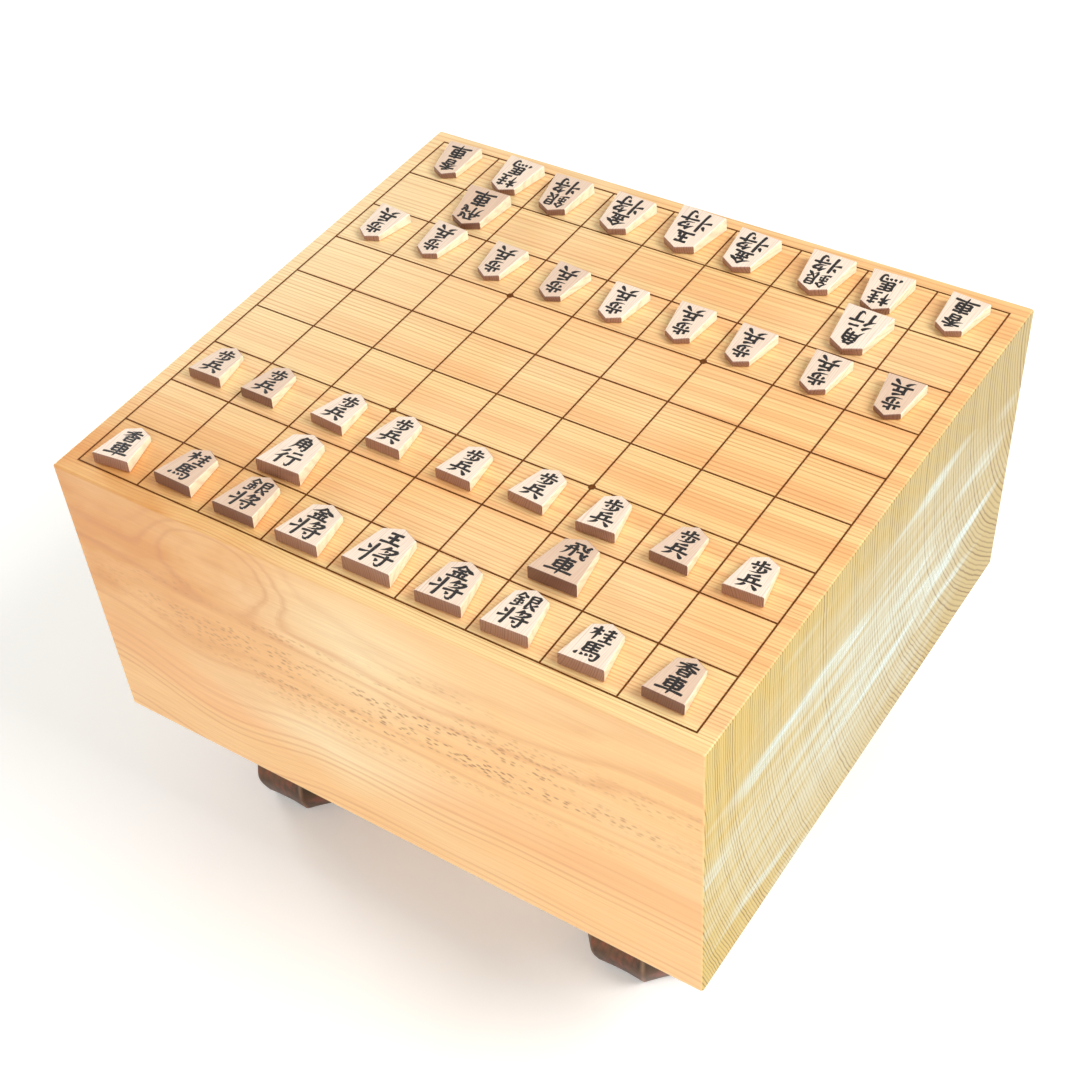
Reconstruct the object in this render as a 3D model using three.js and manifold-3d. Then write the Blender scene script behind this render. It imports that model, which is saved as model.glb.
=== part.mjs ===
// A shogi board on four carved feet, set up for play with its forty loose pieces.
// Millimetres, +Z up. The origin is on the floor below the middle of the board.
// +X runs along the board's long side, +Y away from the near player.

import * as THREE from "three";
import { mergeVertices } from "three/addons/utils/BufferGeometryUtils.js";
import Module from "manifold-3d";

const wasm = await Module();
wasm.setup();

// Playing surface
const CELLS = 9;
const CELL_WIDTH = 38.4;
const CELL_DEPTH = 34.9;
const EDGE_MARGIN = 9.3;

// Block of wood
const BOARD_THICKNESS = 178;
const EDGE_ROUND = 1.2;
const EDGE_ROUND_STEPS = 3;
const CORNER_ROUND = 1.6;
const CORNER_ROUND_STEPS = 4;

// Lacquer grid
const LINE_WIDTH = 0.8;
const LINE_HEIGHT = 0.2;
const DOT_RADIUS = 1.8;
const DOT_LINES = [3, 6];
const DOT_STEPS_PER_QUARTER = 3;

// Square hollow under the board, with a low raised roof in its middle
const HOLLOW_MOUTH = 92;
const HOLLOW_FLOOR = 78;
const HOLLOW_DEPTH = 28;
const HOLLOW_ROOF_RISE = 9;

// Carved feet
const FOOT_HEIGHT = 85;
const FOOT_INSET = 68;
const FOOT_FACES = 8;
const FOOT_STEPS_PER_FACE = 3;
const FOOT_FACE_HOLLOW = 0.7;
const FOOT_SEAT_GAP = 0.3;
const FOOT_SOLE_RADIUS = 31;
const FOOT_HEEL_RADIUS = 34;
const FOOT_BULGE_RADIUS = 38.5;
const FOOT_WAIST_RADIUS = 27;
const FOOT_COLLAR_RADIUS = 34.5;
const FOOT_SOLE_ROUND = 3;
const FOOT_BULGE_HEIGHT = 19;
const FOOT_WAIST_HEIGHT = 56;
const FOOT_COLLAR_DEPTH = 4.5;
const FOOT_BULGE_ROWS = 4;
const FOOT_WAIST_ROWS = 8;
const TENON_RADIUS = 15;
const TENON_LENGTH = 26;
const TENON_CHAMFER = 1.5;
const TENON_CLEARANCE = 0.3;
const MORTISE_END_ROOM = 2;

// Playing pieces: length, width and thickness at the foot end of each kind
const PIECE_SIZES = {
  king: { length: 31.6, width: 26.6, thickness: 8.2 },
  rook: { length: 30.4, width: 25.8, thickness: 7.6 },
  bishop: { length: 30.4, width: 25.8, thickness: 7.6 },
  gold: { length: 29.4, width: 24.3, thickness: 7.1 },
  silver: { length: 29.4, width: 24.3, thickness: 7.1 },
  knight: { length: 28.4, width: 22.9, thickness: 7.0 },
  lance: { length: 27.7, width: 21.0, thickness: 6.6 },
  pawn: { length: 26.9, width: 20.2, thickness: 6.1 },
};
const TIP_THICKNESS_SHARE = 0.5;
const SHOULDER_LENGTH_SHARE = 0.85;
const SHOULDER_WIDTH_SHARE = 0.71;
const PIECE_CHAMFER = 0.4;
const PIECE_SEAT_GAP = 0.3;

// Where each piece lies: its kind, its column counted from the left, its row counted from the
// near side, how far into that cell its middle lies, and how many degrees it is turned.
const NEAR_PLACE_SHARES = [
  ["lance", 1, 1, 0.46, 0.49, 7.5],
  ["knight", 2, 1, 0.49, 0.57, -1],
  ["silver", 3, 1, 0.5, 0.53, 1],
  ["gold", 4, 1, 0.49, 0.51, 1],
  ["king", 5, 1, 0.52, 0.56, 1],
  ["gold", 6, 1, 0.53, 0.53, 3.5],
  ["silver", 7, 1, 0.45, 0.52, 3.5],
  ["knight", 8, 1, 0.47, 0.51, 2.5],
  ["lance", 9, 1, 0.51, 0.54, -1],
  ["bishop", 3, 2, 0.5, 0.5, 2.5],
  ["rook", 7, 2, 0.5, 0.58, 1],
  ["pawn", 1, 3, 0.46, 0.56, 1.5],
  ["pawn", 2, 3, 0.35, 0.57, 0],
  ["pawn", 3, 3, 0.5, 0.59, -3.5],
  ["pawn", 4, 3, 0.39, 0.56, 0],
  ["pawn", 5, 3, 0.5, 0.51, -1],
  ["pawn", 6, 3, 0.52, 0.6, -4],
  ["pawn", 7, 3, 0.47, 0.58, 4],
  ["pawn", 8, 3, 0.51, 0.55, -2],
  ["pawn", 9, 3, 0.47, 0.51, 3],
];
const FAR_PLACE_SHARES = [
  ["lance", 1, 9, 0.52, 0.47, 2.5],
  ["knight", 2, 9, 0.55, 0.52, -3.5],
  ["silver", 3, 9, 0.44, 0.42, 0],
  ["gold", 4, 9, 0.47, 0.42, -3],
  ["king", 5, 9, 0.51, 0.49, -2.5],
  ["gold", 6, 9, 0.43, 0.44, -4],
  ["silver", 7, 9, 0.55, 0.46, -1],
  ["knight", 8, 9, 0.44, 0.46, 1],
  ["lance", 9, 9, 0.49, 0.47, -5],
  ["rook", 2, 8, 0.53, 0.5, 1],
  ["bishop", 8, 8, 0.5, 0.47, -2.5],
  ["pawn", 1, 7, 0.49, 0.49, -6.5],
  ["pawn", 2, 7, 0.47, 0.53, -5],
  ["pawn", 3, 7, 0.52, 0.5, -3],
  ["pawn", 4, 7, 0.53, 0.5, -5],
  ["pawn", 5, 7, 0.48, 0.48, -1.5],
  ["pawn", 6, 7, 0.48, 0.52, 0.5],
  ["pawn", 7, 7, 0.4, 0.47, -3],
  ["pawn", 8, 7, 0.49, 0.42, -1.5],
  ["pawn", 9, 7, 0.5, 0.43, 0],
];

// One overrun serves every cut that runs out of a face
const CUT_OVERRUN = 5;

// Sizes that follow from the ones above
const GRID_WIDTH = CELLS * CELL_WIDTH;
const GRID_DEPTH = CELLS * CELL_DEPTH;
const BOARD_WIDTH = GRID_WIDTH + 2 * EDGE_MARGIN;
const BOARD_DEPTH = GRID_DEPTH + 2 * EDGE_MARGIN;
const BOARD_TOP = FOOT_HEIGHT + BOARD_THICKNESS;
const DOT_REACH = Math.sqrt(DOT_RADIUS ** 2 - (LINE_WIDTH / 2) ** 2);
const TENON_STEPS = FOOT_FACES * FOOT_STEPS_PER_FACE;
const FOOT_PLACES = {
  front_left: [-1, -1],
  front_right: [1, -1],
  back_left: [-1, 1],
  back_right: [1, 1],
};

const boardWood = new THREE.MeshStandardMaterial({ color: 0xf0c284, roughness: 0.45, metalness: 0 });
const lacquer = new THREE.MeshStandardMaterial({ color: 0x2a160c, roughness: 0.35, metalness: 0 });
const stainedWood = new THREE.MeshStandardMaterial({ color: 0x5a3d30, roughness: 0.5, metalness: 0 });
const pieceWood = new THREE.MeshStandardMaterial({ color: 0xf2dbc0, roughness: 0.5, metalness: 0 });

// Joins and cuts

function toSolid(geometry) {
  const plain = geometry.index ? geometry.toNonIndexed() : geometry.clone();
  plain.deleteAttribute("normal");
  plain.deleteAttribute("uv");
  const merged = mergeVertices(plain);
  const mesh = new wasm.Mesh({
    numProp: 3,
    vertProperties: new Float32Array(merged.attributes.position.array),
    triVerts: new Uint32Array(merged.index.array),
  });
  return new wasm.Manifold(mesh);
}

function toGeometry(solid) {
  const mesh = solid.getMesh();
  const geometry = new THREE.BufferGeometry();
  geometry.setAttribute("position", new THREE.BufferAttribute(mesh.vertProperties, mesh.numProp));
  geometry.setIndex(new THREE.BufferAttribute(mesh.triVerts, 1));
  geometry.computeVertexNormals();
  return geometry;
}

// A closed solid through rings of points, each ring run anticlockwise as seen from above, the
// first ring lowest. The ends are closed by fans from the middle of the first and last rings.
function loft(rings) {
  const positions = [];
  const steps = rings[0].length;
  const middle = (ring) => ring.reduce((sum, p) => sum.add(p), new THREE.Vector3()).divideScalar(steps);
  const triangle = (a, b, c) => positions.push(...a.toArray(), ...b.toArray(), ...c.toArray());
  const below = middle(rings[0]);
  const above = middle(rings[rings.length - 1]);
  for (let i = 0; i < steps; i += 1) {
    const next = (i + 1) % steps;
    triangle(below, rings[0][next], rings[0][i]);
    for (let k = 0; k + 1 < rings.length; k += 1) {
      const lower = rings[k];
      const upper = rings[k + 1];
      triangle(lower[i], lower[next], upper[next]);
      triangle(lower[i], upper[next], upper[i]);
    }
    triangle(above, rings[rings.length - 1][i], rings[rings.length - 1][next]);
  }
  const geometry = new THREE.BufferGeometry();
  geometry.setAttribute("position", new THREE.Float32BufferAttribute(positions, 3));
  geometry.computeVertexNormals();
  return geometry;
}

// Board

// A rectangle with round corners, drawn in by inset from the block's sides
function rectangleRing(inset, z) {
  const ring = [];
  const corners = [[1, -1], [1, 1], [-1, 1], [-1, -1]];
  const x = BOARD_WIDTH / 2 - CORNER_ROUND;
  const y = BOARD_DEPTH / 2 - CORNER_ROUND;
  const radius = CORNER_ROUND - inset;
  corners.forEach(([sideX, sideY], corner) => {
    const start = (corner - 1) * Math.PI / 2;
    for (let k = 0; k <= CORNER_ROUND_STEPS; k += 1) {
      const angle = start + (k / CORNER_ROUND_STEPS) * Math.PI / 2;
      ring.push(new THREE.Vector3(
        sideX * x + radius * Math.cos(angle),
        sideY * y + radius * Math.sin(angle),
        z,
      ));
    }
  });
  return ring;
}

function blockGeometry() {
  const rings = [];
  for (let k = 0; k <= EDGE_ROUND_STEPS; k += 1) {
    const angle = (k / EDGE_ROUND_STEPS) * Math.PI / 2;
    const inset = EDGE_ROUND * (1 - Math.sin(angle));
    rings.push(rectangleRing(inset, FOOT_HEIGHT + EDGE_ROUND * (1 - Math.cos(angle))));
  }
  const middle = FOOT_HEIGHT + BOARD_TOP;
  const above = [...rings].reverse().map((ring) => ring.map(
    (p) => new THREE.Vector3(p.x, p.y, middle - p.z),
  ));
  return loft([...rings, ...above]);
}

// The hollow's cutter is turned in four steps, which makes it square
function hollowGeometry() {
  const corner = Math.SQRT1_2;
  const profile = [
    new THREE.Vector2(0, -CUT_OVERRUN),
    new THREE.Vector2(HOLLOW_MOUTH * corner, -CUT_OVERRUN),
    new THREE.Vector2(HOLLOW_MOUTH * corner, 0),
    new THREE.Vector2(HOLLOW_FLOOR * corner, HOLLOW_DEPTH),
    new THREE.Vector2(0, HOLLOW_DEPTH - HOLLOW_ROOF_RISE),
  ];
  const geometry = new THREE.LatheGeometry(profile, 4);
  geometry.rotateX(Math.PI / 2);
  geometry.rotateZ(Math.PI / 4);
  geometry.translate(0, 0, FOOT_HEIGHT);
  return geometry;
}

function footCentre([sideX, sideY]) {
  return [
    sideX * (BOARD_WIDTH / 2 - FOOT_INSET),
    sideY * (BOARD_DEPTH / 2 - FOOT_INSET),
  ];
}

function mortiseGeometry(place) {
  const depth = TENON_LENGTH + MORTISE_END_ROOM;
  const height = depth + CUT_OVERRUN;
  const radius = TENON_RADIUS + TENON_CLEARANCE;
  const geometry = new THREE.CylinderGeometry(radius, radius, height, TENON_STEPS);
  geometry.rotateX(Math.PI / 2);
  const [x, y] = footCentre(place);
  geometry.translate(x, y, FOOT_HEIGHT + depth - height / 2);
  return geometry;
}

function boardMesh() {
  let solid = toSolid(blockGeometry()).subtract(toSolid(hollowGeometry()));
  for (const place of Object.values(FOOT_PLACES)) {
    solid = solid.subtract(toSolid(mortiseGeometry(place)));
  }
  const mesh = new THREE.Mesh(toGeometry(solid), boardWood);
  mesh.name = "board";
  return mesh;
}

// Lacquer grid

const columnX = (line) => (line - CELLS / 2) * CELL_WIDTH;
const rowY = (line) => (line - CELLS / 2) * CELL_DEPTH;
const hasDot = (column, row) => DOT_LINES.includes(column) && DOT_LINES.includes(row);

// A flat solid under a patchwork of convex tiles, each run anticlockwise. Tiles that touch share
// a whole side, and a side that only one tile has gets a wall.
function slab(tiles, height) {
  const positions = [];
  const sideName = (from, to) => [...from, ...to].join(" ");
  const sides = new Set(tiles.flatMap(
    (tile) => tile.map((from, i) => sideName(from, tile[(i + 1) % tile.length])),
  ));
  for (const tile of tiles) {
    for (let i = 1; i + 1 < tile.length; i += 1) {
      positions.push(...tile[0], height, ...tile[i], height, ...tile[i + 1], height);
      positions.push(...tile[0], 0, ...tile[i + 1], 0, ...tile[i], 0);
    }
    tile.forEach((from, i) => {
      const to = tile[(i + 1) % tile.length];
      if (!sides.has(sideName(to, from))) {
        positions.push(...from, 0, ...to, 0, ...to, height);
        positions.push(...from, 0, ...to, height, ...from, height);
      }
    });
  }
  const geometry = new THREE.BufferGeometry();
  geometry.setAttribute("position", new THREE.Float32BufferAttribute(positions, 3));
  geometry.computeVertexNormals();
  return geometry;
}

// One line from a crossing to the next, split where a star dot bulges out of its sides
function lineStretches(from, to, dotAtStart, dotAtEnd) {
  const stops = [from + LINE_WIDTH / 2];
  if (dotAtStart) {
    stops.push(from + DOT_REACH);
  }
  if (dotAtEnd) {
    stops.push(to - DOT_REACH);
  }
  stops.push(to - LINE_WIDTH / 2);
  return stops.slice(1).map((stop, i) => [stops[i], stop]);
}

// The part of a star dot that fills one corner between two crossing lines
function dotCorner(x, y, sideX, sideY) {
  const half = LINE_WIDTH / 2;
  const first = Math.asin(half / DOT_RADIUS);
  const sweep = Math.PI / 2 - 2 * first;
  const tile = [[x + sideX * half, y + sideY * half], [x + sideX * DOT_REACH, y + sideY * half]];
  for (let k = 1; k < DOT_STEPS_PER_QUARTER; k += 1) {
    const angle = first + sweep * (k / DOT_STEPS_PER_QUARTER);
    tile.push([
      x + sideX * DOT_RADIUS * Math.cos(angle),
      y + sideY * DOT_RADIUS * Math.sin(angle),
    ]);
  }
  tile.push([x + sideX * half, y + sideY * DOT_REACH]);
  return sideX * sideY > 0 ? tile : tile.reverse();
}

function crossingTiles(column, row) {
  const half = LINE_WIDTH / 2;
  const x = columnX(column);
  const y = rowY(row);
  const rectangle = (x0, x1, y0, y1) => [[x0, y0], [x1, y0], [x1, y1], [x0, y1]];
  const tiles = [rectangle(x - half, x + half, y - half, y + half)];
  const dot = hasDot(column, row);
  if (column < CELLS) {
    const next = lineStretches(x, columnX(column + 1), dot, hasDot(column + 1, row));
    tiles.push(...next.map(([from, to]) => rectangle(from, to, y - half, y + half)));
  }
  if (row < CELLS) {
    const next = lineStretches(y, rowY(row + 1), dot, hasDot(column, row + 1));
    tiles.push(...next.map(([from, to]) => rectangle(x - half, x + half, from, to)));
  }
  if (dot) {
    tiles.push(dotCorner(x, y, 1, 1), dotCorner(x, y, -1, 1));
    tiles.push(dotCorner(x, y, 1, -1), dotCorner(x, y, -1, -1));
  }
  return tiles;
}

function gridMesh() {
  const tiles = [];
  for (let column = 0; column <= CELLS; column += 1) {
    for (let row = 0; row <= CELLS; row += 1) {
      tiles.push(...crossingTiles(column, row));
    }
  }
  const mesh = new THREE.Mesh(slab(tiles, LINE_HEIGHT), lacquer);
  mesh.name = "grid_lines";
  mesh.position.z = BOARD_TOP;
  return mesh;
}

// Feet

// Half the width of a foot across its flat faces, at a height above the floor
function footRadius(z) {
  if (z <= FOOT_BULGE_HEIGHT) {
    const rise = (z - FOOT_SOLE_ROUND) / (FOOT_BULGE_HEIGHT - FOOT_SOLE_ROUND);
    return FOOT_HEEL_RADIUS + (FOOT_BULGE_RADIUS - FOOT_HEEL_RADIUS) * Math.sin(rise * Math.PI / 2);
  }
  const collar = FOOT_HEIGHT - FOOT_COLLAR_DEPTH;
  const top = z <= FOOT_WAIST_HEIGHT ? FOOT_BULGE_RADIUS : FOOT_COLLAR_RADIUS;
  const far = z <= FOOT_WAIST_HEIGHT ? FOOT_BULGE_HEIGHT : collar;
  const swing = (z - far) / (FOOT_WAIST_HEIGHT - far);
  return FOOT_WAIST_RADIUS + (top - FOOT_WAIST_RADIUS) * (1 + Math.cos(swing * Math.PI)) / 2;
}

// An eight-sided ring whose faces are scooped a little, so that the ridges between them stand out
function footRing(radius, z) {
  const ring = [];
  const halfFace = Math.PI / FOOT_FACES;
  for (let i = 0; i < TENON_STEPS; i += 1) {
    const angle = (i / FOOT_STEPS_PER_FACE) * 2 * halfFace - halfFace;
    const fromFace = ((i % FOOT_STEPS_PER_FACE) / FOOT_STEPS_PER_FACE) * 2 * halfFace - halfFace;
    const scoop = FOOT_FACE_HOLLOW * (1 - (fromFace / halfFace) ** 2);
    const reach = radius / Math.cos(fromFace) - scoop;
    ring.push(new THREE.Vector3(reach * Math.cos(angle), reach * Math.sin(angle), z));
  }
  return ring;
}

function tenonRing(radius, z) {
  const ring = [];
  for (let i = 0; i < TENON_STEPS; i += 1) {
    const angle = (i / TENON_STEPS) * 2 * Math.PI - Math.PI / FOOT_FACES;
    ring.push(new THREE.Vector3(radius * Math.cos(angle), radius * Math.sin(angle), z));
  }
  return ring;
}

function footGeometry() {
  const seat = FOOT_HEIGHT - FOOT_SEAT_GAP;
  const collar = FOOT_HEIGHT - FOOT_COLLAR_DEPTH;
  const tenonTop = FOOT_HEIGHT + TENON_LENGTH;
  const rings = [footRing(FOOT_SOLE_RADIUS, 0)];
  for (let k = 0; k <= FOOT_BULGE_ROWS; k += 1) {
    const z = FOOT_SOLE_ROUND + (FOOT_BULGE_HEIGHT - FOOT_SOLE_ROUND) * (k / FOOT_BULGE_ROWS);
    rings.push(footRing(footRadius(z), z));
  }
  for (let k = 1; k <= FOOT_WAIST_ROWS; k += 1) {
    const z = FOOT_BULGE_HEIGHT + (collar - FOOT_BULGE_HEIGHT) * (k / FOOT_WAIST_ROWS);
    rings.push(footRing(footRadius(z), z));
  }
  rings.push(footRing(FOOT_COLLAR_RADIUS, seat));
  rings.push(tenonRing(TENON_RADIUS, seat));
  rings.push(tenonRing(TENON_RADIUS, tenonTop - TENON_CHAMFER));
  rings.push(tenonRing(TENON_RADIUS - TENON_CHAMFER, tenonTop));
  return loft(rings);
}

function footMesh(name, place) {
  const mesh = new THREE.Mesh(footGeometry(), stainedWood);
  const [x, y] = footCentre(place);
  mesh.name = `foot_${name}`;
  mesh.position.set(x, y, 0);
  return mesh;
}

// Playing pieces

// The five-sided outline, foot end at -Y and tip at +Y, run anticlockwise
function pieceOutline({ length, width }) {
  const shoulderX = (width / 2) * SHOULDER_WIDTH_SHARE;
  const shoulderY = length * SHOULDER_LENGTH_SHARE - length / 2;
  return [
    new THREE.Vector2(-width / 2, -length / 2),
    new THREE.Vector2(width / 2, -length / 2),
    new THREE.Vector2(shoulderX, shoulderY),
    new THREE.Vector2(0, length / 2),
    new THREE.Vector2(-shoulderX, shoulderY),
  ];
}

// The same outline with each side moved in by inset
function insetOutline(outline, inset) {
  const count = outline.length;
  return outline.map((point, i) => {
    const before = outline[(i + count - 1) % count];
    const after = outline[(i + 1) % count];
    const inward = (from, to) => new THREE.Vector2(from.y - to.y, to.x - from.x).normalize();
    const first = inward(before, point);
    const second = inward(point, after);
    const bisector = first.clone().add(second);
    return point.clone().addScaledVector(bisector, inset / (1 + first.dot(second)));
  });
}

// A piece lies on one face, so its other face slopes down to the tip and its ends lean with it
function pieceGeometry(size) {
  const { length, thickness } = size;
  const drop = thickness * (1 - TIP_THICKNESS_SHARE);
  const slope = drop / length;
  const lean = slope / 2;
  const outline = pieceOutline(size);
  const drawnIn = insetOutline(outline, PIECE_CHAMFER);
  const topAt = (y) => thickness - slope * (y + length / 2);
  const ring = (points, heightAt) => points.map((p) => {
    const z = heightAt(p.y);
    return new THREE.Vector3(p.x, p.y + z * lean, z);
  });
  return loft([
    ring(drawnIn, () => 0),
    ring(outline, () => PIECE_CHAMFER),
    ring(outline, (y) => topAt(y) - PIECE_CHAMFER),
    ring(drawnIn, (y) => topAt(y)),
  ]);
}

function pieceMesh(side, [kind, column, row, acrossShare, alongShare, turn]) {
  const mesh = new THREE.Mesh(pieceGeometry(PIECE_SIZES[kind]), pieceWood);
  const facing = side === "near" ? 0 : 180;
  mesh.name = `${side}_${kind}_${column}`;
  mesh.position.set(
    (column - 1 + acrossShare) * CELL_WIDTH - GRID_WIDTH / 2,
    (row - 1 + alongShare) * CELL_DEPTH - GRID_DEPTH / 2,
    BOARD_TOP + PIECE_SEAT_GAP,
  );
  mesh.rotation.z = THREE.MathUtils.degToRad(turn + facing);
  return mesh;
}

// Assembly

const shogiBoard = new THREE.Group();
shogiBoard.add(boardMesh());
shogiBoard.add(gridMesh());
for (const [name, place] of Object.entries(FOOT_PLACES)) {
  shogiBoard.add(footMesh(name, place));
}
for (const place of NEAR_PLACE_SHARES) {
  shogiBoard.add(pieceMesh("near", place));
}
for (const place of FAR_PLACE_SHARES) {
  shogiBoard.add(pieceMesh("far", place));
}

export default shogiBoard;
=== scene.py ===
"""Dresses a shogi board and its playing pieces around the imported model. Metres, +Z up."""

import math
import random
from functools import partial

import bmesh
import bpy
from bpy.props import FloatProperty, FloatVectorProperty, IntProperty, PointerProperty, StringProperty
from bpy.types import Operator, Panel, PropertyGroup
from mathutils import Matrix, Vector


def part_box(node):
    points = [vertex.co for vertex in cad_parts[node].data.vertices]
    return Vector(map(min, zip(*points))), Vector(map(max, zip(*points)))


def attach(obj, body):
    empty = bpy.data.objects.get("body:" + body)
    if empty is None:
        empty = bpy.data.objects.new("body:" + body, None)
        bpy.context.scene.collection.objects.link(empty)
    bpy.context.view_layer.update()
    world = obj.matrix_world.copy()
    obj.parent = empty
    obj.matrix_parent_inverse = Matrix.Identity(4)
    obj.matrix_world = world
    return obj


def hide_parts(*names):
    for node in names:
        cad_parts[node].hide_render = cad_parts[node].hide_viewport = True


bl_info = {
    "name": "Shogi board",
    "version": (1, 0, 0),
    "blender": (4, 5, 0),
    "location": "3D View > Sidebar > Shogi",
    "description": "Gives a shogi board its waxed wood, lacquer lines, carved feet and marked pieces",
    "category": "Object",
}

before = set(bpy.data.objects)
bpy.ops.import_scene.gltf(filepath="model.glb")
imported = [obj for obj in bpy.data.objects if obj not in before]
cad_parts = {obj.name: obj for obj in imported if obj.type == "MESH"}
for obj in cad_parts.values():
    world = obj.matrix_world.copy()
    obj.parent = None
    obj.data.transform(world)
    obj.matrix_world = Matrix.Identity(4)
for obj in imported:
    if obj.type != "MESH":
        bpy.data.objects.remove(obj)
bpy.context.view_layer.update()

MM = 0.001
FEET = sorted(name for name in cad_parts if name.startswith("foot_"))
PLAYING_PIECES = sorted(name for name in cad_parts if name.startswith(("near_", "far_")))
FOOT_FACES = 8

# Two faces at more than this angle meet in an edge
BOARD_EDGE_ANGLE = math.radians(50)
FOOT_EDGE_ANGLE = math.radians(28)
PIECE_EDGE_ANGLE = math.radians(20)

MATH = "ShaderNodeMath"
VECTOR_MATH = "ShaderNodeVectorMath"
NOISE = "ShaderNodeTexNoise"
MAPPING = "ShaderNodeMapping"
ATTRIBUTE = "ShaderNodeAttribute"
BUMP = "ShaderNodeBump"
RAMP = "ShaderNodeValToRGB"
CIRCLE = "GeometryNodeCurvePrimitiveCircle"
SWEEP = "GeometryNodeCurveToMesh"
TRANSFORM = "GeometryNodeTransform"
STORE = "GeometryNodeStoreNamedAttribute"
SPLIT = "ShaderNodeSeparateXYZ"
COMBINE = "ShaderNodeCombineXYZ"

# Takes the value, the lowest and highest that it comes as, and what those two turn into
RANGE = "ShaderNodeMapRange"

# Takes a share, the colour that it starts from and the colour that it goes to
MIX = "ShaderNodeMix"


# Settings

def setting(kind, **fixed):
    """Makes a short way to write settings of one kind, each a name, a description and a default."""
    return lambda name, description, default: kind(
        name=name, description=description, default=default, **fixed,
    )


Colour = setting(StringProperty)
Share = setting(FloatProperty)
Count = setting(IntProperty)
Length = setting(FloatProperty, unit="LENGTH")
Power = setting(FloatProperty, unit="POWER")
Place = setting(FloatVectorProperty, subtype="TRANSLATION", unit="LENGTH")
Reach = setting(FloatVectorProperty, unit="LENGTH")
Turn = setting(FloatVectorProperty, subtype="EULER", unit="ROTATION")


class StageSettings(PropertyGroup):
    eye: Place("Camera place", "Where it stands, solved from the grid", (0.4050, -0.5716, 0.8344))
    turn: Turn(
        "Camera turn", "How the camera is turned about X, Y and Z",
        tuple(math.radians(angle) for angle in (42.35, 4.64, 34.04)),
    )
    lens: Share("Lens", "Focal length in millimetres, on a sensor 36 mm wide", 60.3)
    shift: FloatVectorProperty(
        name="Lens shift",
        description="How far the picture was cropped off the lens axis, in picture widths",
        size=2,
        default=(0.0494, 0.1067),
    )
    floor_colour: Colour("Floor colour", "Colour of the floor and of the room behind it", "#f8f7f4")
    room_light: Share("Room light", "Strength of the even light from all round", 0.5)
    window_place: Place("Window place", "Middle of the broad light on the right", (2.2, 0.5, 2.3))
    window_size: Length("Window size", "Width and height of the window light", 1.6)
    window_power: Power("Window power", "Power of the window light", 76.0)
    front_place: Place("Front light place", "Middle of the near player's light", (0.55, -1.5, 0.7))
    front_size: Length("Front light size", "Width and height of the front light", 1.0)
    front_power: Power("Front light power", "Power of the front light", 8.0)
    fill_place: Place("Fill light place", "Middle of the weak light on the left", (-2.0, 0.6, 0.55))
    fill_size: Length("Fill light size", "Width and height of the fill light", 0.8)
    fill_power: Power("Fill light power", "Power of the fill light", 22.0)


class BoardSettings(PropertyGroup):
    long_grain: Colour("Long grain", "Early wood on the top and the two long sides", "#fcd48f")
    long_grain_warm: Colour("Warm long grain", "Early wood in the warmer bands of years", "#fabf7d")
    sapwood: Colour("Sapwood", "Long grain in the last years before the bark", "#ffe197")
    # The palest long grain, and also the colour of the painted highlights on the front and the top
    pale_patch: Colour("Pale patches", "The palest long grain", "#ffe8b4")
    shade: Colour("Darker long grain", "The darkest early wood on the front", "#e29c50")
    long_line: Colour("Long-grain lines", "Late wood on the top and the two long sides", "#cf8148")
    fleck: Colour("Flecks", "The short dark marks on the long sides", "#9c5a28")
    end_grain: Colour("End grain", "Early wood on the sawn ends, towards the near player", "#cfb46c")
    end_grain_far: Colour("Far end grain", "The same, towards the far player", "#bfa974")
    end_line: Colour("End-grain lines", "Late wood on the two sawn ends", "#6b4c22")
    # Partly wax and partly painted reflection: its pale bluish tint stands in for the bright room seen
    # in it
    wax: Colour("Wax", "The thin wax wiped along the end grain", "#c6d5cc")
    ring_spacing: Length("Ring spacing", "Width of a year's ring near the bark", 1.8 * MM)
    bark_radius: Length("Bark radius", "How far from the pith the rings have that width", 0.466)
    ring_growth: Share("Ring growth", "The years passed by a radius go up by this power of it", 1.6)
    pith: Place("Pith", "A point on the line along X that the rings run round", (0.0, 0.30, 0.268))
    shade_place: Place("Dark cloud", "Middle of the darkest wood on the front", (-0.165, -0.166, 0.235))
    shade_size: Reach("Dark cloud size", "How far that darker wood reaches", (0.17, 0.08, 0.12))
    # Painted highlight: the pale cloud on the front stands in for the glare of the room's light, not
    # for paler wood
    cloud_place: Place("Pale cloud", "Middle of the palest wood on the front", (-0.012, -0.166, 0.230))
    cloud_size: Reach("Pale cloud size", "How far that paler wood reaches", (0.10, 0.08, 0.05))
    low_cloud_place: Place("Low cloud", "Middle of paler wood low on the front", (-0.03, -0.166, 0.147))
    low_cloud_size: Reach("Low cloud size", "How far that paler wood reaches", (0.10, 0.08, 0.038))
    # Painted highlight: the top cloud stands in for glare on the top's left, not for paler wood
    top_cloud_place: Place("Top cloud", "Middle of the palest wood on the top", (-0.19, 0.05, 0.263))
    top_cloud_size: Reach("Top cloud size", "How far that paler wood reaches", (0.19, 0.28, 0.04))
    dip_place: Place("Dip", "Where the lines on the front dip lowest", (-0.11, -0.166, 0.125))
    dip_size: Reach("Dip size", "How far the dip reaches", (0.075, 0.30, 0.10))
    knot_place: Place("Knot", "Where the lines run round a hidden knot", (-0.085, -0.166, 0.243))
    knot_size: Reach("Knot size", "How far the knot bends the lines", (0.06, 0.05, 0.04))
    drift_place: Place("Drift of flecks", "Middle of the flecks on the front", (0.04, -0.166, 0.192))
    drift_size: Reach("Drift size", "How far the flecks reach", (0.24, 0.4, 0.036))
    # The wash spreads the pale wax colour, which is partly painted sheen, over the ends
    wash_place: Place("Wax wash", "Middle of the thin wash of wax on the ends", (0.0, -0.012, 0.165))
    wash_size: Reach("Wax wash size", "How far it reaches, right through the board", (5.0, 0.18, 0.10))


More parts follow.
